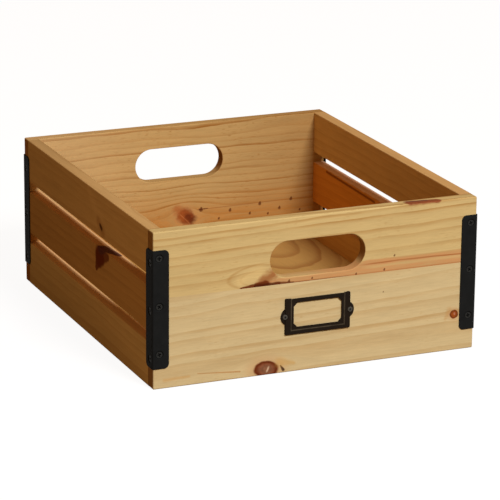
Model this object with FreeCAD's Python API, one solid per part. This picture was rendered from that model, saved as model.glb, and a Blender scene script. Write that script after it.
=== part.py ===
# Wooden apple crate. Two pine end boards with hand slots carry three slats on each side and a thin
# floor panel in grooves. A black steel angle is screwed over each corner, and a stamped label
# holder is pinned to the front board.
#
# Millimetres. X runs to the right, Y to the back and Z up. The origin is at the centre of the
# footprint, on the plane that the crate stands on. The front board's outer face looks along -Y.
import FreeCAD
import Part
import math
import os

Vector = FreeCAD.Vector
X_AXIS, Y_AXIS, Z_AXIS = Vector(1, 0, 0), Vector(0, 1, 0), Vector(0, 0, 1)
ORIGIN = Vector(0, 0, 0)
TINY = 1e-4

# ---- crate ------------------------------------------------------------------------------------
crate_width = 350.0             # length of the end boards, along X
crate_depth = 384.0             # outer face of the front board to outer face of the back board
slats_per_side = 3
slat_height = 45.7
slat_gap = 11.7
slat_thickness = 13.0
slat_edge_radius = 1.0          # easing along a slat's four long edges
board_thickness = 13.0
board_edge_radius = 1.4         # easing round a board's outer face and over its ends
board_inner_radius = 1.0        # easing along a board's inner top and bottom edges
glue_line_drop = 67.5           # top edge to the glue line between the front board's two planks

# ---- hand slots -------------------------------------------------------------------------------
slot_length = 103.0
slot_height = 37.4
slot_centre_drop = 42.7         # top edge of the board to the middle of the slot
slot_edge_radius = 1.0

# ---- floor panel and its grooves --------------------------------------------------------------
floor_thickness = 6.0
floor_above_base = 9.0          # underside of the panel
groove_depth = 5.0
groove_play = 0.2               # height of the groove over the panel's thickness
floor_side_clearance = 0.5      # panel's edge to the groove's bottom, each side

# ---- corner brackets --------------------------------------------------------------------------
bracket_leg = 17.5              # outer corner to free edge, both legs
bracket_thickness = 1.0
bracket_length = 121.0
bracket_drop = 18.5             # top edge of the crate to the bracket's top
bracket_inner_bend = 0.8
bracket_corner_radius = 5.0     # free corners
bracket_edge_chamfer = 0.25
countersink_diameter = 9.0      # at the outer face; it slopes at 45 degrees, on into the wood

# ---- bracket screws ---------------------------------------------------------------------------
screws_per_leg = 3
face_screw_top_inset = 8.3      # bracket's top to the first screw of the leg on the end board
face_screw_bottom_inset = 14.7
side_screw_top_inset = 13.5     # lower on the side leg, so that the two rows pass each other
side_screw_bottom_inset = 9.5
screw_length = 30.0             # bracket's outer face to the tip
screw_shank_diameter = 3.5
screw_head_diameter = 7.6
screw_tip_length = 5.0
screw_seat_clearance = 0.05
pilot_clearance = 0.1           # radial, round the shank
pilot_extra_depth = 1.0
drive_span = 4.2                # cross recess, tip to tip
drive_arm_width = 1.1
drive_depth = 0.9
drive_turn = 37.0               # degrees from one screw's recess to the next

# ---- label holder -----------------------------------------------------------------------------
window_width = 52.2
window_height = 25.4
window_chamfer = 4.0
window_sill_height = 47.0       # the crate's base to the window's lower edge
holder_side_rail = 9.25
holder_bottom_bar = 7.5
holder_top_bar = 4.2
holder_tab = 0.6                # how far the side rails stand above the top bar
holder_depth = 2.0
holder_rim_width = 6.4          # raised rim on the side rails
holder_bottom_rim = 4.4         # raised rim on the bottom bar
holder_flange_depth = 1.55      # outer face of the flange round the window
holder_corner_radius = 1.2
holder_edge_radius = 0.45
card_slot_depth = 0.85
card_slot_wall = 3.4            # outer edge of the holder to the slot for the card
ear_radius = 9.3
ear_reach = 4.5                 # beyond the side rail
ear_thickness = 0.9

# ---- label holder pins ------------------------------------------------------------------------
pin_head_diameter = 5.4
pin_crown_diameter = 4.4        # where the head's domed edge meets its ring
pin_head_height = 1.05
pin_edge_height = 0.5
pin_seat_clearance = 0.4        # radial, between the head and its seat in the rim
pin_shank_diameter = 1.6
pin_shank_length = 9.0
pin_dimple_diameter = 2.2
pin_dimple_depth = 0.7
pin_clearance = 0.05            # radial, round the shank

# ---- worked out from the sizes above ----------------------------------------------------------
crate_height = slats_per_side * slat_height + (slats_per_side - 1) * slat_gap
half_width = crate_width / 2
half_depth = crate_depth / 2
inner_half_width = half_width - slat_thickness
inner_half_depth = half_depth - board_thickness
slat_pitch = slat_height + slat_gap
glue_line_height = crate_height - glue_line_drop
slot_centre_height = crate_height - slot_centre_drop
groove_height = floor_thickness + groove_play
bracket_top = crate_height - bracket_drop
pilot_radius = screw_shank_diameter / 2 + pilot_clearance
face_screw_x = half_width - slat_thickness / 2      # middle of the slat's end grain
side_screw_y = half_depth - board_thickness / 2     # middle of the board's end grain
holder_width = window_width + 2 * holder_side_rail
holder_bottom = window_sill_height - holder_bottom_bar
window_top = window_sill_height + window_height
top_bar_top = window_top + holder_top_bar
holder_top = top_bar_top + holder_tab
ear_height = (holder_bottom + holder_top) / 2
pin_x = holder_width / 2


def screw_heights(top_inset, bottom_inset):
    """Heights of one leg's screws, from the top one down."""
    pitch = (bracket_length - top_inset - bottom_inset) / (screws_per_leg - 1)
    return [bracket_top - top_inset - i * pitch for i in range(screws_per_leg)]


face_screw_heights = screw_heights(face_screw_top_inset, face_screw_bottom_inset)
side_screw_heights = screw_heights(side_screw_top_inset, side_screw_bottom_inset)


def box(x0, x1, y0, y1, z0, z1):
    return Part.makeBox(x1 - x0, y1 - y0, z1 - z0, Vector(x0, y0, z0))


def edges_where(shape, test):
    """The straight edges whose two ends both pass the test."""
    return [e for e in shape.Edges
            if isinstance(e.Curve, Part.Line) and all(test(v.Point) for v in e.Vertexes)]


def same(a, b):
    return abs(a - b) < TINY


def mirrored(shape, flip_x, flip_y):
    """The front left corner's shape, carried over to another corner."""
    if flip_x:
        shape = shape.mirror(ORIGIN, X_AXIS)
    if flip_y:
        shape = shape.mirror(ORIGIN, Y_AXIS)
    return shape


# ---- wood -------------------------------------------------------------------------------------
def stadium_prism(length, height, centre_z, y0, y1):
    """A slot with round ends, lying along X and running from y0 to y1."""
    r = height / 2
    x = length / 2 - r
    lower, upper = centre_z - r, centre_z + r
    left = Part.Arc(Vector(-x, y0, upper), Vector(-x - r, y0, centre_z), Vector(-x, y0, lower))
    right = Part.Arc(Vector(x, y0, lower), Vector(x + r, y0, centre_z), Vector(x, y0, upper))
    floor_line = Part.LineSegment(Vector(-x, y0, lower), Vector(x, y0, lower))
    roof_line = Part.LineSegment(Vector(x, y0, upper), Vector(-x, y0, upper))
    wire = Part.Wire([left.toShape(), floor_line.toShape(), right.toShape(), roof_line.toShape()])
    return Part.Face(wire).extrude(Vector(0, y1 - y0, 0))


def pilot(point, inward):
    """A screw's drilling, countersunk for the part of the head that passes through the bracket."""
    depth = screw_length - bracket_thickness + pilot_extra_depth
    wood_countersink = countersink_diameter / 2 - bracket_thickness
    drilling = Part.makeCylinder(pilot_radius, depth, point, inward)
    cone = Part.makeCone(wood_countersink, pilot_radius, wood_countersink - pilot_radius, point, inward)
    return drilling.fuse(cone)


def face_pilots():
    """Drillings for the screws that run through the front board into the slats' end grain."""
    return [pilot(Vector(x, -half_depth, z), Y_AXIS) for x in (-face_screw_x, face_screw_x)
            for z in face_screw_heights]


def side_pilots():
    """Drillings for the screws that run from the sides into the front board's end grain."""
    return [pilot(Vector(-s * half_width, -side_screw_y, z), X_AXIS * s) for s in (1, -1)
            for z in side_screw_heights]


def pin_holes():
    radius = pin_shank_diameter / 2 + pin_clearance
    depth = pin_shank_length - ear_thickness + pin_clearance
    return [Part.makeCylinder(radius, depth, Vector(x, -half_depth, ear_height), Y_AXIS)
            for x in (-pin_x, pin_x)]


def end_board():
    """The front board in one piece; the back board is its mirror image."""
    outer, inner = -half_depth, -inner_half_depth
    board = box(-half_width, half_width, outer, inner, 0, crate_height)
    rim = edges_where(board, lambda p: same(p.y, outer))
    ends = [e for e in board.Edges if same(e.BoundBox.YLength, board_thickness)]
    board = board.makeFillet(board_edge_radius, rim + ends)
    inner_rim = [e for e in board.Edges if same(e.BoundBox.YMin, inner) and e.BoundBox.ZLength < TINY
                 and e.BoundBox.XLength > board_thickness]
    board = board.makeFillet(board_inner_radius, inner_rim)
    board = board.cut(stadium_prism(slot_length, slot_height, slot_centre_height, outer, inner))
    reach = slot_height / 2 + TINY
    slot_rim = [e for e in board.Edges
                if abs(e.BoundBox.ZMin - slot_centre_height) < reach
                and abs(e.BoundBox.ZMax - slot_centre_height) < reach
                and e.BoundBox.YLength < TINY and abs(e.BoundBox.XMin) < slot_length]
    board = board.makeFillet(slot_edge_radius, slot_rim)
    groove = box(-inner_half_width - groove_depth, inner_half_width + groove_depth,
                 inner - groove_depth, inner, floor_above_base, floor_above_base + groove_height)
    return board.cut([groove] + face_pilots() + side_pilots())


def front_planks():
    """The front board is glued up from two planks."""
    board = end_board().cut(pin_holes())
    upper = box(-half_width, half_width, -half_depth, -inner_half_depth, glue_line_height, crate_height)
    lower = box(-half_width, half_width, -half_depth, -inner_half_depth, 0, glue_line_height)
    return {"front_board_upper_plank": board.common(upper),
            "front_board_lower_plank": board.common(lower)}


def slat(side, level):
    """A slat between the two end boards; side is -1 on the left and 1 on the right."""
    outer, inner = side * half_width, side * inner_half_width
    bottom = level * slat_pitch
    top = bottom + slat_height
    piece = box(min(outer, inner), max(outer, inner), -inner_half_depth, inner_half_depth, bottom, top)
    long_edges = [e for e in piece.Edges if same(e.BoundBox.YLength, 2 * inner_half_depth)]
    piece = piece.makeFillet(slat_edge_radius, long_edges)
    holes = face_pilots()
    holes += [mirrored(hole, False, True) for hole in holes]
    if level == 0:
        reach = inner_half_width + groove_depth
        holes.append(box(-reach, reach, -inner_half_depth, inner_half_depth,
                         floor_above_base, floor_above_base + groove_height))
    return piece.cut(holes)


def floor_panel():
    x = inner_half_width + groove_depth - floor_side_clearance
    y = inner_half_depth + groove_depth - floor_side_clearance
    return box(-x, x, -y, y, floor_above_base, floor_above_base + floor_thickness)


# ---- brackets and screws ----------------------------------------------------------------------
def bracket_profile():
    """The angle's section at the front left corner, seen from above."""
    cx, cy = -half_width - bracket_thickness, -half_depth - bracket_thickness
    t, leg = bracket_thickness, bracket_leg
    inner, outer = bracket_inner_bend, bracket_inner_bend + bracket_thickness

    def at(x, y):
        return Vector(cx + x, cy + y, bracket_top - bracket_length)

    def bend(radius, offset):
        """Quarter turn from the side leg to the face leg."""
        centre = offset + radius
        middle = centre - radius * math.sqrt(0.5)
        return Part.Arc(at(offset, centre), at(middle, middle), at(centre, offset)).toShape()

    lines = [(at(outer, 0), at(leg, 0)), (at(leg, 0), at(leg, t)), (at(leg, t), at(t + inner, t)),
             (at(t, t + inner), at(t, leg)), (at(t, leg), at(0, leg)), (at(0, leg), at(0, outer))]
    edges = [Part.LineSegment(a, b).toShape() for a, b in lines]
    edges += [bend(outer, 0), bend(inner, t)]
    return Part.Face(Part.Wire(Part.__sortEdges__(edges)))


def countersunk_hole(outer_point, inward):
    radius = countersink_diameter / 2
    return Part.makeCone(radius, radius - bracket_thickness, bracket_thickness, outer_point, inward)


def face_screw_points():
    y = -half_depth - bracket_thickness
    return [Vector(-face_screw_x, y, z) for z in face_screw_heights]


def side_screw_points():
    x = -half_width - bracket_thickness
    return [Vector(x, -side_screw_y, z) for z in side_screw_heights]


def corner_bracket():
    """The front left angle."""
    angle = bracket_profile().extrude(Vector(0, 0, bracket_length))
    free_x = -half_width - bracket_thickness + bracket_leg
    free_y = -half_depth - bracket_thickness + bracket_leg
    corners = edges_where(angle, lambda p: same(p.x, free_x) or same(p.y, free_y))
    corners = [e for e in corners if same(e.Vertexes[0].Z, e.Vertexes[1].Z)]
    angle = angle.makeFillet(bracket_corner_radius, corners)
    front, side = -half_depth - bracket_thickness, -half_width - bracket_thickness
    on_front = [e for e in angle.Edges if same(e.BoundBox.YMin, front) and e.BoundBox.YLength < TINY]
    on_side = [e for e in angle.Edges if same(e.BoundBox.XMin, side) and e.BoundBox.XLength < TINY]
    outline = [e for e in on_front + on_side if not same(e.BoundBox.ZLength, bracket_length)]
    bends = [e for e in angle.Edges if isinstance(e.Curve, Part.Circle) and e.BoundBox.ZLength < TINY
             and same(e.Curve.Radius, bracket_inner_bend + bracket_thickness)]
    angle = angle.makeChamfer(bracket_edge_chamfer, outline + bends)
    holes = [countersunk_hole(p, Y_AXIS) for p in face_screw_points()]
    holes += [countersunk_hole(p, X_AXIS) for p in side_screw_points()]
    return angle.cut(holes)


def screw(point, inward, turn):
    """A countersunk cross-head screw whose head seats in the bracket's cone."""
    head_radius = screw_head_diameter / 2
    top = countersink_diameter / 2 - screw_seat_clearance - head_radius
    shank = screw_shank_diameter / 2
    outline = [(0, top), (head_radius, top), (shank, top + head_radius - shank),
               (shank, screw_length - screw_tip_length), (0, screw_length)]
    points = [Vector(r, 0, depth) for r, depth in outline]
    face = Part.Face(Part.makePolygon(points + points[:1]))
    body = face.revolve(ORIGIN, Z_AXIS, 360)
    half_span, half_arm = drive_span / 2, drive_arm_width / 2
    arms = [box(-half_span, half_span, -half_arm, half_arm, 0, top + drive_depth),
            box(-half_arm, half_arm, -half_span, half_span, 0, top + drive_depth)]
    body = body.cut(arms)
    body.rotate(ORIGIN, Z_AXIS, turn)
    body.Placement = FreeCAD.Placement(point, FreeCAD.Rotation(Z_AXIS, inward)).multiply(body.Placement)
    return body


def screw_row(points, inward, first_turn):
    return Part.makeCompound([screw(p, inward, first_turn + i * drive_turn) for i, p in enumerate(points)])


# ---- label holder -----------------------------------------------------------------------------
def chamfered_window(y0, y1):
    x, c = window_width / 2, window_chamfer
    z0, z1 = window_sill_height, window_top
    outline = [(-x + c, z0), (x - c, z0), (x, z0 + c), (x, z1 - c),
               (x - c, z1), (-x + c, z1), (-x, z1 - c), (-x, z0 + c)]
    points = [Vector(px, y0, pz) for px, pz in outline]
    return Part.Face(Part.makePolygon(points + points[:1])).extrude(Vector(0, y1 - y0, 0))


def label_holder():
    """Stamped frame on the front board: raised rim on three sides, open at the top for a card."""
    wood = -half_depth
    face = wood - holder_depth
    x = holder_width / 2
    holder = box(-x, x, face, wood, holder_bottom, holder_top)
    corners = [e for e in holder.Edges if same(e.BoundBox.YLength, holder_depth)]
    holder = holder.makeFillet(holder_corner_radius, corners)
    rim = [e for e in holder.Edges if same(e.BoundBox.YMax, face)]
    holder = holder.makeFillet(holder_edge_radius, rim)

    rim_x = x - holder_rim_width
    slot_x = x - card_slot_wall
    above = holder_top + holder_tab
    step = box(-rim_x, rim_x, face, wood - holder_flange_depth, holder_bottom + holder_bottom_rim, above)
    notch = box(-rim_x, rim_x, face, wood, top_bar_top, above)
    card_slot = box(-slot_x, slot_x, wood - card_slot_depth, wood, holder_bottom + card_slot_wall, above)
    holder = holder.cut([step, notch, card_slot, chamfered_window(face, wood)])

    ear_x = x + ear_reach - ear_radius
    inner_x = slot_x + (x - slot_x) / 2         # the ears run into the solid part of the rim
    ears = []
    for side in (-1, 1):
        disc = Part.makeCylinder(ear_radius, ear_thickness,
                                 Vector(side * ear_x, wood, ear_height), Y_AXIS * -1)
        keep = box(min(side * inner_x, side * (x + ear_radius)), max(side * inner_x, side * (x + ear_radius)),
                   wood - ear_thickness, wood, ear_height - ear_radius, ear_height + ear_radius)
        ears.append(disc.common(keep))
    holder = holder.fuse(ears).removeSplitter()

    seats, shanks = [], []
    for side in (-1, 1):
        seats.append(Part.makeCylinder(pin_head_diameter / 2 + pin_seat_clearance, holder_depth,
                                       Vector(side * pin_x, wood - ear_thickness, ear_height), Y_AXIS * -1))
        shanks.append(Part.makeCylinder(pin_shank_diameter / 2 + pin_clearance, holder_depth,
                                        Vector(side * pin_x, face, ear_height), Y_AXIS))
    return holder.cut(seats + shanks)


def holder_pins():
    """Two nails with a domed head and a hollow in its middle."""
    outline = [(0, pin_head_height - pin_dimple_depth), (pin_dimple_diameter / 2, pin_head_height),
               (pin_crown_diameter / 2, pin_head_height), (pin_head_diameter / 2, pin_edge_height),
               (pin_head_diameter / 2, 0), (pin_shank_diameter / 2, 0),
               (pin_shank_diameter / 2, pin_shank_diameter - pin_shank_length), (0, -pin_shank_length)]
    points = [Vector(radius, 0, height) for radius, height in outline]
    nail = Part.Face(Part.makePolygon(points + points[:1])).revolve(ORIGIN, Z_AXIS, 360)
    nails = []
    for x in (-pin_x, pin_x):
        place = Vector(x, -half_depth - ear_thickness, ear_height)
        copy = nail.copy()
        copy.Placement = FreeCAD.Placement(place, FreeCAD.Rotation(Z_AXIS, Y_AXIS * -1))
        nails.append(copy)
    return Part.makeCompound(nails)


# ---- assembly ---------------------------------------------------------------------------------
def corner_pieces():
    """The angles and their screws, one corner after another."""
    pieces = {}
    angle = corner_bracket()
    corners = [("front_left", False, False), ("front_right", True, False),
               ("rear_left", False, True), ("rear_right", True, True)]
    for number, (corner, flip_x, flip_y) in enumerate(corners):
        turn = number * drive_turn / 2
        face_row = screw_row(face_screw_points(), Y_AXIS, turn)
        side_row = screw_row(side_screw_points(), X_AXIS, -turn)
        pieces["corner_bracket_" + corner] = mirrored(angle, flip_x, flip_y)
        pieces["face_screws_" + corner] = mirrored(face_row, flip_x, flip_y)
        pieces["side_screws_" + corner] = mirrored(side_row, flip_x, flip_y)
    return pieces


def all_pieces():
    pieces = front_planks()
    pieces["back_board"] = mirrored(end_board(), False, True)
    names = ["bottom", "middle", "top"] if slats_per_side == 3 else range(slats_per_side)
    for side, side_name in ((-1, "left"), (1, "right")):
        for level, level_name in enumerate(names):
            pieces["%s_slat_%s" % (side_name, level_name)] = slat(side, level)
    pieces["floor_panel"] = floor_panel()
    pieces.update(corner_pieces())
    pieces["label_holder"] = label_holder()
    pieces["label_holder_pins"] = holder_pins()
    return pieces


os.makedirs("parts", exist_ok=True)
for node, shape in all_pieces().items():
    shape.exportStep("parts/%s.step" % node)
    print("%-28s solids %d  valid %s  volume %.1f" % (node, len(shape.Solids), shape.isValid(), shape.Volume))
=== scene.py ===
"""Looks of the wooden apple crate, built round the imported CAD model. Metres, +Z up."""
import math
from types import SimpleNamespace

import bmesh
import bpy
from mathutils import Matrix, Vector


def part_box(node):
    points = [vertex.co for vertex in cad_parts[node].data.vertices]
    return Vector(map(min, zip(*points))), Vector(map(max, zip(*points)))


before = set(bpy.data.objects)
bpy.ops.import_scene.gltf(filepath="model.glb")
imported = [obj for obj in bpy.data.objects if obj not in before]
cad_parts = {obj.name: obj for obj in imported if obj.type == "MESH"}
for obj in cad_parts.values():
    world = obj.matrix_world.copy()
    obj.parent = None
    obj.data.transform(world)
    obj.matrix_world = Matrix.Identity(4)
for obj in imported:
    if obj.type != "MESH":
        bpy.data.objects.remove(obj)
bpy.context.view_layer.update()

MM = 0.001              # one millimetre in metres


# ---- sizes read from the frame ----------------------------------------------------------------
def node_box(name):
    low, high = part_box(name)
    return Vector(low), Vector(high)


BACK_LOW, BACK_HIGH = node_box("back_board")
HALF_W = BACK_HIGH.x
HALF_D = BACK_HIGH.y
HEIGHT = BACK_HIGH.z
BOARD_T = BACK_HIGH.y - BACK_LOW.y


# ---- colours ----------------------------------------------------------------------------------
def srgb(red, green, blue):
    """A display colour, 0 to 255, as the linear colour that the shader takes."""
    def linear(value):
        value /= 255
        return value / 12.92 if value <= 0.04045 else ((value + 0.055) / 1.055) ** 2.4
    return (linear(red), linear(green), linear(blue), 1.0)


# ---- a small language for shader arithmetic ---------------------------------------------------
class Signal:
    """A number running through a material's nodes, with ordinary arithmetic."""

    def __init__(self, tree, socket):
        self.tree, self.socket = tree, socket

    def op(self, operation, *others):
        """One arithmetic node, fed with this number and the others."""
        node = self.tree.nodes.new("ShaderNodeMath")
        node.operation = operation
        for slot, value in zip(node.inputs, (self,) + others):
            feed(self.tree, slot, value)
        return Signal(self.tree, node.outputs[0])

    def __add__(self, other):
        return self.op("ADD", other)

    def __sub__(self, other):
        return self.op("SUBTRACT", other)

    def __rsub__(self, other):
        return (self * -1.0) + other

    def __mul__(self, other):
        return self.op("MULTIPLY", other)

    def __truediv__(self, other):
        return self.op("DIVIDE", other)

    def sqrt(self):
        return self.op("SQRT")

    def fract(self):
        return self.op("FRACT")

    def floor(self):
        return self.op("FLOOR")

    def magnitude(self):
        return self.op("ABSOLUTE")

    def power(self, exponent):
        return self.op("POWER", exponent)

    def sine(self):
        return self.op("SINE")

    def larger(self, other):
        return self.op("MAXIMUM", other)

    def smaller(self, other):
        return self.op("MINIMUM", other)

    def smooth(self, start, end, low=0.0, high=1.0):
        """Smooth step: low before start, high after end; start may be the larger one."""
        if start > end:
            start, end, low, high = end, start, high, low
        node = self.tree.nodes.new("ShaderNodeMapRange")
        node.interpolation_type = "SMOOTHSTEP"
        for slot, value in zip(node.inputs, (self, start, end, low, high)):
            feed(self.tree, slot, value)
        return Signal(self.tree, node.outputs[0])


def feed(tree, slot, value):
    """Link a signal to a socket, or set the socket to a constant."""
    if isinstance(value, Signal):
        tree.links.new(value.socket, slot)
    else:
        slot.default_value = value


def length_of(x, y):
    """The length of the step that goes x one way and y the other."""
    return (x * x + y * y).sqrt()


class Material:
    """A node material under construction."""

    def __init__(self, name):
        self.data = bpy.data.materials.new(name)
        self.data.use_nodes = True
        self.tree = self.data.node_tree
        self.shader = self.tree.nodes["Principled BSDF"]

    def node(self, kind):
        return self.tree.nodes.new(kind)

    def place(self):
        """The surface point in millimetres, as three signals."""
        coordinates = self.node("ShaderNodeTexCoord")
        scale = self.node("ShaderNodeVectorMath")
        scale.operation = "SCALE"
        scale.inputs["Scale"].default_value = 1 / MM
        self.tree.links.new(coordinates.outputs["Object"], scale.inputs[0])
        return self.split(scale.outputs[0])

    def normal(self):
        """The surface's direction, as three signals."""
        geometry = self.node("ShaderNodeNewGeometry")
        return self.split(geometry.outputs["Normal"])

    def split(self, socket):
        node = self.node("ShaderNodeSeparateXYZ")
        self.tree.links.new(socket, node.inputs[0])
        return [Signal(self.tree, output) for output in node.outputs]

    def vector(self, x, y, z):
        node = self.node("ShaderNodeCombineXYZ")
        for slot, value in zip(node.inputs, (x, y, z)):
            feed(self.tree, slot, value)
        return node.outputs[0]

    def noise(self, place, cell, shift=(0.0, 0.0, 0.0), detail=2.0, roughness=0.5):
        """Smooth noise about 0.5. Its patches are cell long each way, and shift picks other ones."""
        node = self.node("ShaderNodeTexNoise")
        node.inputs["Scale"].default_value = 1.0
        node.inputs["Detail"].default_value = detail
        node.inputs["Roughness"].default_value = roughness
        steps = [point / size + offset for point, size, offset in zip(place, cell, shift)]
        self.tree.links.new(self.vector(*steps), node.inputs["Vector"])
        return Signal(self.tree, node.outputs[0])

    def dice(self, value):
        """A random number for each whole value."""
        node = self.node("ShaderNodeTexWhiteNoise")
        node.noise_dimensions = "1D"
        feed(self.tree, node.inputs["W"], value)
        return Signal(self.tree, node.outputs["Value"])

    def mix(self, factor, first, second):
        """The first colour where factor is 0, the second where it is 1."""
        node = self.node("ShaderNodeMix")
        node.data_type = "RGBA"
        node.clamp_factor = True
        feed(self.tree, node.inputs["Factor"], factor)
        colour_slots = node.inputs[6:8]
        for slot, colour in zip(colour_slots, (first, second)):
            if isinstance(colour, tuple):
                slot.default_value = colour
            else:
                self.tree.links.new(colour, slot)
        return node.outputs[2]

    def scaled(self, colour, factor):
        """A colour times a number that varies over the surface."""
        node = self.node("ShaderNodeVectorMath")
        node.operation = "SCALE"
        feed(self.tree, node.inputs["Scale"], factor)
        if isinstance(colour, tuple):
            node.inputs[0].default_value = colour[:3]
        else:
            self.tree.links.new(colour, node.inputs[0])
        return node.outputs[0]

    def colour(self, socket):
        self.tree.links.new(socket, self.shader.inputs["Base Color"])

    def bump(self, height, distance, strength):
        node = self.node("ShaderNodeBump")
        node.inputs["Distance"].default_value = distance
        node.inputs["Strength"].default_value = strength
        feed(self.tree, node.inputs["Height"], height)
        self.tree.links.new(node.outputs[0], self.shader.inputs["Normal"])

    def set(self, **values):
        """Set or link the shader's inputs, with _ for a space in their names."""
        for name, value in values.items():
            feed(self.tree, self.shader.inputs[name.replace("_", " ")], value)


# ---- wood -------------------------------------------------------------------------------------
WOOD_RELIEF, PLY_RELIEF = 0.00012, 0.00010          # the bumps' height, in metres
UPPER_PALE, UPPER_LATE = srgb(211, 188, 132), srgb(180, 139, 80)
LOWER_PALE, LOWER_LATE = srgb(214, 196, 150), srgb(186, 150, 94)
BACK_PALE, BACK_LATE = srgb(198, 165, 109), srgb(160, 108, 50)
BACK_LEFT, BACK_LOW_RED = srgb(214, 186, 142), srgb(186, 126, 60)
SLAT_TONES = {"left_slat_top": (srgb(203, 168, 114), srgb(164, 116, 63)),
              "left_slat_middle": (srgb(186, 146, 92), srgb(142, 94, 50)),
              "left_slat_bottom": (srgb(200, 170, 118), srgb(158, 112, 62)),
              "right_slat_top": (srgb(212, 173, 116), srgb(172, 120, 66)),
              "right_slat_middle": (srgb(214, 144, 66), srgb(170, 96, 36)),
              "right_slat_bottom": (srgb(204, 158, 96), srgb(162, 108, 56))}
PLY_PALE, PLY_LATE = srgb(198, 160, 94), srgb(148, 92, 44)
HEART = srgb(204, 155, 104)
HEART_LINE = srgb(172, 110, 64)
END_GRAIN = srgb(152, 92, 42)
KNOT_RIM = srgb(112, 50, 22)
KNOT_MID = srgb(142, 98, 72)
SPLIT_HIGHLIGHT = srgb(206, 178, 150)
PIN = srgb(96, 46, 24)
RESIN = srgb(150, 84, 40)


def knot(along, across, long_r, wide_r, dark=1.0, tilt=0.0, lit_crack=False, rim=KNOT_RIM, middle=KNOT_MID,
         ragged=0.42, soft=0.12):
    """A knot's centre, its half length and half width in millimetres, and how it looks. Dark is how
    much it covers the wood, and soft how wide its edge is."""
    return dict(along=along, across=across, long_r=long_r, wide_r=wide_r, dark=dark, tilt=tilt,
                lit_crack=lit_crack, rim=rim, middle=middle, ragged=ragged, soft=soft)


def stain(start, end, start_r, end_r, colour, strength=1.0, soft=0.3, ragged=0.3):
    """A coloured stroke between two points, each with its own radius, all in millimetres, used for
    stains and for painted light. Strength is how much it covers the wood, soft how wide its edge is, and
    ragged how uneven."""
    return dict(start=start, end=end, start_r=start_r, end_r=end_r, colour=colour, strength=strength,
                soft=soft, ragged=ragged)


PIN_LEAN = 0.2
PIN_STRENGTH, PIN_SOFT, PIN_RAGGED = 0.82, 0.50, 0.3


def pin(along, across, radius=1.0):
    """A small dark knot, a little taller than wide."""
    low, high = (along - PIN_LEAN, across - radius * 0.5), (along + PIN_LEAN, across + radius * 0.7)
    return stain(low, high, radius * 1.2, radius * 0.7, PIN, PIN_STRENGTH, PIN_SOFT, PIN_RAGGED)


def grain(pith, pitch, tilt, wave, contrast, dashes=0.0, onset=0.50, faint=0.12):
    """How a board was sawn. Pith is the heart of the tree, across the board and into it, and tilt how
    far it drifts both ways for each millimetre along. Pitch is the rings' spacing, wave how much they
    sway, and contrast how dark they are. The dark part of each ring starts at onset, faint is how
    strong the weakest ring is, and dashes how strong the resin canals are."""
    return dict(pith=pith, pitch=pitch, tilt=tilt, wave=wave, contrast=contrast, dashes=dashes,
                onset=onset, faint=faint)


def stroke_span(x, y, s):
    """Distance from a coloured stroke over its radius there."""
    (ax, ay), (bx, by) = s["start"], s["end"]
    dx, dy = bx - ax, by - ay
    part = (((x - ax) * dx + (y - ay) * dy) / (dx * dx + dy * dy)).larger(0.0).smaller(1.0)
    away = length_of(x - ax - part * dx, y - ay - part * dy)
    return away / (part * (s["end_r"] - s["start_r"]) + s["start_r"])


def paint_knot(m, colour, along, across, k, seed):
    """A branch cut through, with its halo, rim, rings and, if old, a split drawn pale as a painted
    highlight.
    """
    x = along - k["along"]
    y = across - k["across"]
    if k["tilt"]:
        c, s = math.cos(k["tilt"]), math.sin(k["tilt"])
        x, y = x * c + y * s, y * c - x * s
    size = (k["long_r"] * k["wide_r"]) ** 0.5
    face = (along, across, 0.0)
    lump, speck = (size / 1.6, size / 1.6, 1.0), (size / 3.0, size / 3.0, 1.0)
    rough_edge = (m.noise(face, lump, (0.0, 0.0, seed + 5.0)) - 0.5) * k["ragged"]
    mottle = m.noise(face, speck, (0.0, 0.0, seed + 11.0), detail=3.0)
    span = length_of(x / k["long_r"], y / k["wide_r"]) + rough_edge

    body = span.smooth(1.02 + k["soft"], 1.02 - k["soft"])
    halo = span.smooth(2.2, 0.95, 0.0, 0.42 * k["dark"])
    colour = m.mix(halo, colour, HEART)
    inner = m.mix(span.smooth(0.25, 0.95), k["middle"], k["rim"])
    ring = (span * 13.0 + rough_edge * 6.0).sine().smooth(-1.0, 1.0)
    inner = m.scaled(inner, ring * 0.20 + mottle * 0.90 + 0.44)
    colour = m.mix(body * k["dark"], colour, inner)
    if k["lit_crack"]:
        # painted highlight: the split is coloured pale as if catching the light
        split = (x * 0.9 - y * 0.25 + rough_edge * 12.0 - 1.6).magnitude().smooth(1.2, 0.4)
        colour = m.mix(split * span.smooth(0.50, 0.20), colour, SPLIT_HIGHLIGHT)
    return colour, body


def paint_stain_and_light(m, colour, x, y, s, seed):
    size = max(s["start_r"], s["end_r"])
    span = stroke_span(x, y, s)
    if s["ragged"]:
        rough_edge = m.noise((x, y, 0.0), (size / 0.9, size / 1.4, 1.0), (0.0, 0.0, seed + 21.0)) - 0.5
        span = span + rough_edge * s["ragged"] * 2.0
    return m.mix(span.smooth(1.0 + s["soft"], 1.0 - s["soft"]) * s["strength"], colour, s["colour"])


def flow_round(along, across, knots, eddies):
    """The distance across the board, bent so that the grain flows round knots and eddies."""
    flow = across
    bends = [(k["along"], k["across"], 2.6 * k["long_r"], 2.2 * k["wide_r"]) for k in knots]
    for centre, level, reach, rise in bends + list(eddies):
        near = length_of((along - centre) / reach, (across - level) / rise)
        flow = flow - (across - level) * near.smooth(1.0, 0.0, 0.0, 0.80)
    return flow


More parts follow.
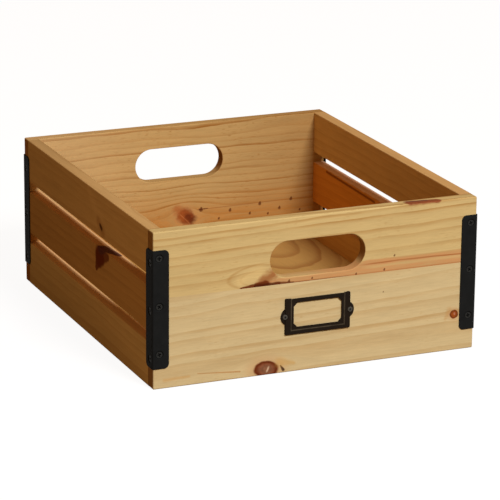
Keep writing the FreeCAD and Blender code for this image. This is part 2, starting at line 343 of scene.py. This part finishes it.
def year_rings(m, how, at, seed):
    """How far a point is through its year ring, from 0 to 1, and how strong the dark line is there."""
    wave = how["wave"]
    ripple = m.noise((at.along, at.flow, at.deep), (30, 9, 12), (seed, 0.0, 7.3)) - 0.5
    wander = at.sway * wave
    # u and w are the steps from the pith, across the board and into it
    u = at.flow - how["pith"][0] + wander * 2.0 + ripple * wave * 0.33 - at.along * how["tilt"][0]
    w = at.deep - how["pith"][1] + wander + ripple * 0.8 - at.along * how["tilt"][1]
    radius = length_of(u, w)
    uneven = m.noise((radius, 0.0, 0.0), (13, 1, 1), (0.0, seed + 3.1, 0.0), detail=1.0) - 0.5
    rings = radius / how["pitch"] + uneven * 1.6
    phase = rings.fract()
    late_wood = phase.smooth(how["onset"], 0.94) * phase.smooth(1.0, 0.965)
    strength = m.dice(rings.floor() + seed * 17.0).smooth(0.0, 1.0, how["faint"], 1.0)
    return phase, late_wood * strength * how["contrast"]


def pine(name, axes, origin, how, pale, late, seed, knots=(), stains=(), eddies=(), loops=(), tint=None):
    """Solid pine. axes names the row axes along the grain, across the board and into it, and origin
    is the board's corner there in millimetres. Knots, stains and painted light, eddies and loops are
    placed from that corner, and an eddy or loop is its centre, half length and half width. tint
    colours the wood before them, and on some boards it also paints shade."""
    m = Material(name)
    place = dict(zip("XYZ", m.place()))
    normal = dict(zip("XYZ", m.normal()))
    along, across, deep = [place[a] - o for a, o in zip(axes, origin)]
    flow = flow_round(along, across, knots, eddies)
    inside, face = (along, flow, deep), (along, flow, 0.0)
    sway = m.noise(inside, (120, 55, 60), (seed, 0.0, 0.0)) - 0.5
    streak = m.noise(inside, (26, 1.6, 1.6), (seed, 0.0, 0.0)) - 0.5
    at = SimpleNamespace(along=along, across=across, deep=deep, flow=flow, sway=sway, streak=streak)

    phase, line = year_rings(m, how, at, seed)
    patchy = m.noise(face, (80, 10, 1), (0.0, 0.0, seed + 9.0)).smooth(0.30, 0.66, 0.35, 1.0)
    line = line * patchy
    colour = m.mix(line + phase * 0.12, pale, late)
    if how["dashes"]:
        canal = m.noise(inside, (7, 0.8, 3), (seed, 0.0, 0.0), detail=0.0).smooth(0.66, 0.76)
        crowd = m.noise(face, (45, 16, 1), (4.0, 0.0, seed), detail=1.0).smooth(0.40, 0.62)
        colour = m.mix(canal * crowd * how["dashes"], colour, late)
    if tint:
        colour = tint(m, colour, at)

    for centre, level, reach, rise in loops:
        span = length_of((along - centre) / reach, (across - level) / rise)
        past = span + sway * 0.5 - 1.0
        edge = past.smooth(-0.10, 0.0) * past.smooth(0.07, 0.0) * (along - centre).smooth(4.0, -14.0)
        colour = m.mix(edge * patchy * 0.60, colour, late)

    blotch = m.noise(inside, (60, 10, 9), (3.0, 0.0, seed), detail=3.0) - 0.5
    fibre = m.noise(inside, (9, 0.6, 0.6), (0.0, 0.0, seed), roughness=0.6) - 0.5
    raised = line * 0.35 + fibre * 0.6
    for k in knots:
        colour, body = paint_knot(m, colour, along, across, k, seed)
        raised = raised + body * 0.8
    slope = across + deep               # carries a coloured stroke on over the board's edge
    for s in stains:
        colour = paint_stain_and_light(m, colour, along, slope, s, seed)

    end = normal[axes[0]].magnitude().smooth(0.6, 0.95)
    pore = m.noise((flow, deep, along), (0.5, 0.5, 0.5), (0.0, 0.0, seed), detail=1.0) - 0.5
    shade = blotch * 0.22 + fibre * 0.15 + streak * 0.20 + 1.0
    colour = m.mix(end * 0.7, colour, END_GRAIN)
    m.colour(m.scaled(colour, shade * (end * (pore * 0.35 - 0.22) + 1.0)))
    m.set(Roughness=0.52, IOR=1.45, Specular_IOR_Level=0.0)
    m.bump(raised, WOOD_RELIEF, 0.55)
    return m.data


TOP = HEIGHT / MM       # heights on the end boards are written as drops from this edge
HEART_DROP, WIDE_DROP = 60.5, 53.0      # where the heartwood starts, before and past the slot
VEIN_DROP = 57.4                        # the dark line in it
GLUE_DROP = 66.6                        # just above the line where the planks meet


def heart_band(m, colour, at):
    """Red heartwood along the upper plank's lower edge, wider past the slot."""
    along, sway = at.along, at.sway
    drop = TOP - at.across
    top = along.smooth(205, 232, HEART_DROP, WIDE_DROP) + along.smooth(106, 128, 5.0, 0.0) + sway * 6.0
    inside = (drop - top).smooth(-0.8, 2.2) * along.smooth(104, 126)
    bright = (drop - HEART_DROP + sway * 5.0).magnitude().smooth(2.2, 0.6, 0.0, 0.55)
    bright = bright * along.smooth(215, 240)
    colour = m.mix(inside * (at.streak * 1.6 + 0.92) * (1.0 - bright), colour, HEART)
    vein = drop - VEIN_DROP + sway * 9.0 + along.smooth(225, 350, 0.6, -1.4)
    vein = vein.magnitude().smooth(1.1, 0.35)
    vein = vein * along.smooth(214, 240) * (at.streak * 1.2 + 0.75)
    under = (drop - GLUE_DROP).smooth(-1.2, 0.4, 0.0, 0.5) * along.smooth(118, 145)
    return m.mix(vein + under * inside, colour, HEART_LINE)


def front_plank(name, how, pale, late, seed, **marks):
    """Both planks of the front board share one way of reading the place: X along, Z across, Y in."""
    return pine(name, "XZY", (-HALF_W / MM, 0.0, -HALF_D / MM), how, pale, late, seed, **marks)


FRONT_UPPER = front_plank(
    "pine_front_upper",
    grain((-38.0 + TOP / 2, 62.0), 8.6, (0.036, 0.02), 5.5, 0.95, dashes=0.35, faint=0.35),
    UPPER_PALE, UPPER_LATE, seed=1.0,
    stains=[stain((92, TOP - 60.0), (112, TOP - 54.0), 5.0, 7.0, srgb(228, 202, 140), 0.55, 0.70),
            stain((112, TOP - 63.5), (126, TOP - 57.0), 3.4, 5.6, srgb(156, 90, 44), 0.80, 0.85, 0.9),
            stain((92, TOP - 67.2), (119, TOP - 65.2), 0.9, 3.5, srgb(108, 48, 20), 0.95, 0.35),
            stain((108, TOP - 66.4), (133, TOP - 66.6), 1.8, 1.8, srgb(80, 36, 18), 0.90, 0.40),
            stain((130, TOP - 66.2), (149, TOP - 67.0), 1.8, 0.7, srgb(104, 54, 30), 0.85, 0.45),
            stain((146, TOP - 67.2), (208, TOP - 67.4), 0.5, 0.4, srgb(120, 66, 36), 0.70, 0.40),
            stain((277, TOP + 4.6), (306, TOP + 2.6), 5.8, 4.4, srgb(138, 70, 44), 0.92, 0.30),
            stain((272, TOP + 8.5), (296, TOP + 6.5), 1.2, 1.6, srgb(112, 74, 66), 0.80, 0.40),
            pin(144, TOP - 65.2, 1.2), pin(169, TOP - 64.8, 0.8), pin(217, TOP - 66.0, 0.8),
            pin(248, TOP - 65.0, 0.9), pin(259, TOP - 51.5, 0.8)],
    eddies=[(104, TOP - 66, 40, 27)], loops=[(126, TOP - 58, 47, 14.5), (124, TOP - 59, 33, 9.5)],
    tint=heart_band)
FRONT_LOWER = front_plank(
    "pine_front_lower",
    grain((-46.0, 70.0), 10.5, (0.054, 0.02), 6.5, 0.52, dashes=0.3, onset=0.46, faint=0.4),
    LOWER_PALE, LOWER_LATE, seed=2.0,
    knots=[knot(120.3, TOP - 154.4, 13.2, 8.6, tilt=-0.10, lit_crack=True, ragged=0.16),
           knot(327.6, TOP - 122.0, 4.7, 4.6, dark=0.96, rim=srgb(116, 50, 16), middle=srgb(160, 80, 26),
                ragged=0.3)],
    stains=[stain((47, TOP - 149.5), (92, TOP - 153.2), 0.3, 0.7, srgb(182, 122, 60), 0.75, 0.9, 0.8),
            stain((12, TOP - 152.0), (38, TOP - 151.0), 1.6, 1.2, srgb(206, 156, 84), 0.45, 0.9, 0.5),
            stain((318, TOP - 126.0), (322, TOP - 116.0), 1.6, 2.4, srgb(194, 140, 72), 0.30, 0.8),
            # a painted highlight on the small knot
            stain((328.2, TOP - 121.0), (328.4, TOP - 122.2), 0.9, 0.7, srgb(214, 160, 140), 0.45, 0.6),
            stain((135.8, TOP - 152.6), (138.8, TOP - 157.2), 0.7, 1.6, srgb(66, 36, 20), 0.92, 0.4),
            stain((135, TOP - 148.5), (150, TOP - 151.5), 4.4, 1.8, srgb(208, 166, 92), 0.55, 0.9, 0.6),
            pin(247.5, TOP - 88.5, 0.5)],
    eddies=[(126, TOP - 154, 52, 24)])


def back_heart_and_shade(m, colour, at):
    """The back board is palest at the left and turns red towards the knots low on its inner side, and a
    painted shade darkens it a little towards the right.
    """
    drop = TOP - at.across
    depth = (drop + at.sway * 16.0).smooth(66, 116, 0.0, 0.75) * (at.streak * 1.4 + 0.9)
    # painted shade: darker towards the right, as the light falls off there
    colour = m.scaled(colour, at.along.smooth(0, 350, 1.12, 0.95))
    colour = m.mix(at.along.smooth(20, 170, 0.30, 0.0), colour, BACK_LEFT)
    colour = m.mix(at.along.smooth(210, 350, 0.0, 0.35), colour, BACK_LATE)
    return m.mix(depth, colour, BACK_LOW_RED)


BACK = pine(
    "pine_back_board", "XZY", (-HALF_W / MM, 0.0, (HALF_D - BOARD_T) / MM),
    grain((TOP + 46, 58), 6.4, (-0.02, 0.02), 4.2, 0.85, dashes=0.55, onset=0.54, faint=0.25),
    BACK_PALE, BACK_LATE, seed=3.0,
    knots=[knot(183, TOP - 105.0, 10.5, 8.2, dark=0.93, tilt=-0.7, rim=srgb(136, 66, 30),
                middle=srgb(140, 66, 32), ragged=0.8, soft=0.40)],
    stains=[stain((172, TOP - 96), (180, TOP - 104), 4.5, 7.0, srgb(170, 92, 42), 0.60, 0.80, 0.7),
            stain((184, TOP - 105), (190, TOP - 109), 3.2, 4.6, srgb(92, 38, 20), 0.70, 0.70, 0.7),
            stain((176, TOP - 102), (187, TOP - 113), 0.5, 0.3, srgb(196, 128, 76), 0.50, 0.60, 0.2),
            stain((196, TOP - 98.6), (330, TOP - 97.2), 0.35, 0.3, RESIN, 0.55, 0.6, 0.2),
            stain((199, TOP - 98.4), (209, TOP - 98.0), 0.9, 0.4, PIN, 0.80, 0.6, 0.2)]
    + [pin(along, TOP - drop, radius)
       for along, drop, radius in ((201, 98.2, 1.7), (236, 102.5, 1.4), (260, 108.7, 1.1),
                                   (272, 98.6, 1.5), (296, 106.0, 1.3), (310, 96.8, 1.4),
                                   (222.5, 110.8, 1.0), (282, 111.3, 1.0), (321, 110.8, 0.9))],
    eddies=[(183, TOP - 108, 60, 34)], tint=back_heart_and_shade)


# stains and painted light on the slats, by slat: along from the slat's front end, across from its base
SLAT_END = 371          # past the rear end of every slat
SPIKE = [stain((136, 38), (146, 22), 12.0, 3.5, srgb(104, 50, 32), 0.90, 0.30),
         stain((113, 42), (138, 36), 4.0, 10.5, srgb(104, 50, 32), 0.85, 0.35),
         stain((134, 47), (103, 55), 8.0, 2.4, srgb(92, 56, 54), 0.92, 0.30)]
SMALL_KNOT = [stain((134, 14), (168, 42), 9.0, 4.0, srgb(220, 184, 130), 0.35, 0.90),
              stain((127, 8), (140, 15), 6.0, 5.0, srgb(146, 96, 48), 0.45, 0.80),
              stain((130, 10.0), (134.5, 12.5), 2.6, 2.2, srgb(70, 36, 18), 0.85, 0.5)]
DARK_STREAK = [stain((198, 41.8), (322, 43.6), 1.3, 1.5, srgb(104, 46, 18), 0.75, 0.9, 0.6)]
# painted light: the slats' top faces coloured paler as if lit from above, with a painted highlight along
# one edge
PAINTED_LIGHT_TOP = [stain((0, 52.5), (SLAT_END, 52.5), 6.0, 6.0, srgb(208, 152, 100), 0.60, 0.30, 0.15),
            stain((0, 57.8), (SLAT_END, 57.8), 1.6, 1.6, srgb(244, 204, 154), 0.85, 0.50, 0.2)]
# painted light: the right middle slat's top face, shaded by the slat above, coloured pale as if lit
PAINTED_LIGHT_RIGHT_TOP = [stain((0, 52.5), (SLAT_END, 52.5), 6.2, 6.2, srgb(240, 200, 168), 0.95, 0.20, 0.15)]
SLAT_STAINS_AND_LIGHT = {"left_slat_middle": PAINTED_LIGHT_TOP + SPIKE, "left_slat_top": SMALL_KNOT,
               "right_slat_middle": PAINTED_LIGHT_RIGHT_TOP + DARK_STREAK, "left_slat_bottom": PAINTED_LIGHT_TOP,
               "right_slat_bottom": PAINTED_LIGHT_TOP}


def painted_shade_backwards(m, colour, at):
    """Painted shade: the left slats darken a little from front to back, as the light falls off towards
    the rear.
    """
    return m.scaled(colour, at.along.smooth(0, SLAT_END, 1.08, 0.90))


def slat_pine(node, seed):
    low, _ = node_box(node)
    pale, late = SLAT_TONES[node]
    return pine("pine_" + node, "YZX", (low.y / MM, low.z / MM, low.x / MM),
                grain((-30.0 - seed, 55.0), 7.6, (0.01, 0.02), 8.0, 0.16), pale, late, seed,
                stains=SLAT_STAINS_AND_LIGHT.get(node, ()), tint=painted_shade_backwards if "left" in node else None)


PLY_CENTRE = (104, 190)     # of the figure's loops, in millimetres from the crate's middle
PLY_LOOP = (50, 112)        # half the width and half the length of one of them
FIRST_LOOP = 0.66           # how far out the first one lies, in loops of that size


def plywood():
    """Rotary-cut face veneer: long loops round one place near the back right corner."""
    m = Material("plywood_floor")
    x, y, z = m.place()
    sheet = (x, y, 0.0)
    sway = m.noise(sheet, (60, 110, 1), (0.0, 0.0, 2.0)) - 0.5
    ripple = m.noise(sheet, (16, 34, 1), (0.0, 0.0, 5.0)) - 0.5
    span = length_of((x - PLY_CENTRE[0]) / PLY_LOOP[0], (y - PLY_CENTRE[1]) / PLY_LOOP[1])
    span = span + sway * 0.30 + ripple * 0.06
    rings = (span / FIRST_LOOP).power(1.5)
    phase = rings.fract()
    strength = m.dice(rings.floor() + 5.0).smooth(0.0, 1.0, 0.5, 1.0) * span.smooth(1.10, 1.40, 1.0, 0.6)
    line = phase.smooth(0.50, 0.96) * phase.smooth(1.0, 0.92) * strength
    fibre = m.noise((x, y, z), (0.6, 9, 1), roughness=0.6) - 0.5
    streak = m.noise(sheet, (3, 40, 1), (0.0, 0.0, 9.0)) - 0.5
    colour = m.mix(line * 0.48 + phase * 0.16, PLY_PALE, PLY_LATE)
    m.colour(m.scaled(colour, fibre * 0.14 + streak * 0.16 + 1.0))
    m.set(Roughness=0.55, IOR=1.45, Specular_IOR_Level=0.12)
    m.bump(fibre, PLY_RELIEF, 0.5)
    return m.data


# ---- metals -----------------------------------------------------------------------------------
EAR_REACH, RIM_WIDTH, LOWER_RIM = 4.5, 6.4, 4.4     # the label holder's, in millimetres
# rubbed metal, also a painted highlight along the holder's rim edge
RUBBED_AND_LIT = srgb(88, 80, 66)
BRACKET_PEEL, HOLDER_PEEL = 0.00006, 0.00005        # the coating's orange peel, in metres
COAT_ROUGHNESS = 0.42


def rim_wear_and_highlight(x, z):
    """One along the inner edge of the label holder's raised rim, at both sides and below: rubbed wear
    that is also a painted highlight on the edge.
    """
    low, high = node_box("label_holder")
    side = x.magnitude() - (high.x / MM - EAR_REACH - RIM_WIDTH)
    below = low.z / MM + LOWER_RIM - z
    return side.larger(below).magnitude().smooth(0.75, 0.15)


def coated_metal(name, colour, peel, metallic=0.0, wear_and_highlight=None, gloss=0.0):
    """Paint or patina on metal, with a fine orange peel and, if an edge mask is given, a rubbed line
    that also stands as a painted highlight.
    """
    m = Material(name)
    place = m.place()
    fine = m.noise(place, (0.45, 0.45, 0.45)) - 0.5
    broad = m.noise(place, (9, 9, 9), detail=3.0) - 0.5
    tone = m.scaled(colour, broad * 0.5 + fine * 0.25 + 1.0)
    if wear_and_highlight:
        tone = m.mix(wear_and_highlight(place[0], place[2]) * (broad * 2.0 + 0.7), tone, RUBBED_AND_LIT)
    m.colour(tone)
    m.set(Roughness=broad * 0.12 + fine * 0.10 + COAT_ROUGHNESS, Specular_IOR_Level=gloss,
          Metallic=metallic)
    m.bump(fine, peel, 0.5)
    return m.data


BRACKET = coated_metal("bracket_black", srgb(31, 33, 34), BRACKET_PEEL, gloss=0.003)
HOLDER = coated_metal("holder_bronze", srgb(36, 30, 24), HOLDER_PEEL, metallic=0.15, wear_and_highlight=rim_wear_and_highlight,
                      gloss=0.01)
HOLLOW_SHADE, NAIL_RIM = srgb(18, 17, 16), srgb(78, 76, 70)
HOLLOW_R, RIM_R = 1.0, 1.4      # where a nail's hollow ends and its rim starts, in millimetres


def hollow_nails():
    """Two tubular nails: a paler rim round a hollow painted dark as shade."""
    m = Material("nail_steel")
    x, _, z = m.place()
    low, high = node_box("label_holder_pins")
    middle = (low + high) / 2 / MM
    reach = (high.x - low.x - (high.z - low.z)) / 2 / MM
    away = length_of((x - middle.x).magnitude() - reach, z - middle.z)
    m.colour(m.mix(away.smooth(HOLLOW_R, RIM_R), HOLLOW_SHADE, NAIL_RIM))
    m.set(Roughness=0.45, Specular_IOR_Level=0.10)
    return m.data


HEAD_R = 3.8                    # a bracket screw's head, in millimetres
PALE_HEAD_R, PALE_HEAD_EDGE = 3.1, 3.5    # its paler part, which fades out between these
HEAD_FACE = 0.25                # how deep the head's face reaches; its cross recess lies deeper
FACE_FADE = 0.1                 # how much further the face fades out into the recess
SCREW_SHADE, SCREW_PALE_HEAD = srgb(10, 10, 10), srgb(46, 48, 48)


def screw_black(node):
    """Three black screws in a row down the bracket: paler heads, with painted shade on their rims and in
    their cross recesses.
    """
    m = Material("black_" + node)
    low, high = node_box(node)
    place = dict(zip("xyz", m.place()))
    shank, side = ("x", "y") if high.x - low.x > high.y - low.y else ("y", "x")
    outer = max(abs(getattr(low, shank)), abs(getattr(high, shank))) / MM
    first = low.z / MM + HEAD_R
    pitch = ((high.z - low.z) / MM - 2 * HEAD_R) / 2
    row = (place["z"] - first) / pitch
    up = (row - (row + 0.5).floor()) * pitch
    off = place[side] - (getattr(low, side) + getattr(high, side)) / 2 / MM
    pale_head = length_of(up, off).smooth(PALE_HEAD_EDGE, PALE_HEAD_R)
    face = (outer - place[shank].magnitude()).smooth(HEAD_FACE + FACE_FADE, HEAD_FACE)
    # painted shade: the heads' rims and cross recesses are coloured dark as shade
    m.colour(m.mix(pale_head * face, SCREW_SHADE, SCREW_PALE_HEAD))
    m.set(Roughness=0.35, Specular_IOR_Level=0.015)
    return m.data


def give(material, name):
    """Put one material on the whole of a node."""
    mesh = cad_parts[name].data
    mesh.materials.clear()
    mesh.materials.append(material)


FIRST_SLAT_SEED, SLAT_SEED_STEP = 11.0, 3.7         # so that no two slats have the same grain


def dress():
    give(FRONT_UPPER, "front_board_upper_plank")
    give(FRONT_LOWER, "front_board_lower_plank")
    give(BACK, "back_board")
    give(plywood(), "floor_panel")
    seed = FIRST_SLAT_SEED
    for side in ("left", "right"):
        for level in ("top", "middle", "bottom"):
            node = "%s_slat_%s" % (side, level)
            give(slat_pine(node, seed), node)
            seed += SLAT_SEED_STEP
    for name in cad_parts:
        if name.startswith("corner_bracket"):
            give(BRACKET, name)
        elif "screws" in name:
            give(screw_black(name), name)
    give(HOLDER, "label_holder")
    give(hollow_nails(), "label_holder_pins")


dress()


# ---- stage ------------------------------------------------------------------------------------
FLOOR_HALF = 6.0                            # half the sheet's width, in metres
FLOOR_DROP = 0.0002                         # keeps the sheet just clear of the crate's base
FLOOR_SEEN = (0.13, 0.13, 0.13, 1.0)        # shows the shadow
FLOOR_GLOW = 0.93                           # lifts the rest to white
FLOOR_BOUNCE = (0.28, 0.19, 0.10, 1.0)      # the colour of the light it throws back up
WARM_FILL = (1.0, 0.57, 0.25, 1.0)          # the light from all round
FILL_STRENGTH = 0.31


def seen_by(tree):
    """One for the rays that show the background: to the camera, in gloss and through glass."""
    rays = tree.nodes.new("ShaderNodeLightPath")
    eye, gloss, glass = [Signal(tree, rays.outputs["Is %s Ray" % kind])
                         for kind in ("Camera", "Glossy", "Transmission")]
    return eye.larger(gloss).larger(glass).socket


def white_floor():
    """A white sheet. The camera sees it lifted to white, with the crate's shadow left on it."""
    mesh = bpy.data.meshes.new("floor")
    build = bmesh.new()
    bmesh.ops.create_grid(build, x_segments=1, y_segments=1, size=FLOOR_HALF)
    build.to_mesh(mesh)
    build.free()
    floor = bpy.data.objects.new("floor", mesh)
    bpy.context.scene.collection.objects.link(floor)
    floor.location.z = -FLOOR_DROP
    m = Material("floor_white")
    tree = m.tree
    tree.nodes.remove(m.shader)
    output = tree.nodes["Material Output"]
    seen = tree.nodes.new("ShaderNodeBsdfDiffuse")
    seen.inputs["Color"].default_value = FLOOR_SEEN
    glow = tree.nodes.new("ShaderNodeEmission")
    glow.inputs["Strength"].default_value = FLOOR_GLOW
    lifted = tree.nodes.new("ShaderNodeAddShader")
    bounce = tree.nodes.new("ShaderNodeBsdfDiffuse")
    bounce.inputs["Color"].default_value = FLOOR_BOUNCE
    pick = tree.nodes.new("ShaderNodeMixShader")
    tree.links.new(seen.outputs[0], lifted.inputs[0])
    tree.links.new(glow.outputs[0], lifted.inputs[1])
    tree.links.new(seen_by(tree), pick.inputs[0])
    tree.links.new(bounce.outputs[0], pick.inputs[1])
    tree.links.new(lifted.outputs[0], pick.inputs[2])
    tree.links.new(pick.outputs[0], output.inputs["Surface"])
    mesh.materials.append(m.data)


def white_world():
    """White to the eye and in gloss, dimmer as a light."""
    world = bpy.data.worlds.new("studio")
    bpy.context.scene.world = world
    world.use_nodes = True
    tree = world.node_tree
    tree.nodes.clear()
    output = tree.nodes.new("ShaderNodeOutputWorld")
    seen = tree.nodes.new("ShaderNodeBackground")
    seen.inputs["Strength"].default_value = 1.0
    light = tree.nodes.new("ShaderNodeBackground")
    light.inputs["Color"].default_value = WARM_FILL
    light.inputs["Strength"].default_value = FILL_STRENGTH
    pick = tree.nodes.new("ShaderNodeMixShader")
    tree.links.new(seen_by(tree), pick.inputs[0])
    tree.links.new(light.outputs[0], pick.inputs[1])
    tree.links.new(seen.outputs[0], pick.inputs[2])
    tree.links.new(pick.outputs[0], output.inputs["Surface"])


def softbox(name, place, aim, size, power):
    """A rectangular lamp at a place, turned to face aim."""
    data = bpy.data.lights.new(name, "AREA")
    data.shape = "RECTANGLE"
    data.size, data.size_y = size
    data.energy = power
    lamp = bpy.data.objects.new(name, data)
    bpy.context.scene.collection.objects.link(lamp)
    lamp.location = place
    lamp.rotation_euler = (Vector(aim) - Vector(place)).to_track_quat("-Z", "Y").to_euler()


def camera():
    """Long lens from the front left, a little above."""
    azimuth, elevation, roll = math.radians(-23.174), math.radians(17.050), math.radians(0.543)
    distance = 2.9806
    target = Vector((-0.0070, -0.0371, HEIGHT / 2))
    back = Vector((math.sin(azimuth) * math.cos(elevation), -math.cos(azimuth) * math.cos(elevation),
                   math.sin(elevation)))
    level = Vector((0, 0, 1)).cross(back).normalized()
    rise = back.cross(level)
    right = level * math.cos(roll) + rise * math.sin(roll)
    up = rise * math.cos(roll) - level * math.sin(roll)
    data = bpy.data.cameras.new("camera")
    data.lens = 206.7
    data.sensor_width = 36.0
    data.clip_start, data.clip_end = 0.1, 50.0
    eye = bpy.data.objects.new("camera", data)
    bpy.context.scene.collection.objects.link(eye)
    turn = Matrix((right, up, back)).transposed().to_4x4()
    eye.matrix_world = Matrix.Translation(target + back * distance) @ turn
    bpy.context.scene.camera = eye


white_floor()
white_world()
softbox("key", place=(0.60, -3.35, 2.70), aim=(0, 0, 0.05), size=(1.0, 1.0), power=148)
camera()
bpy.context.scene.view_settings.view_transform = "Standard"
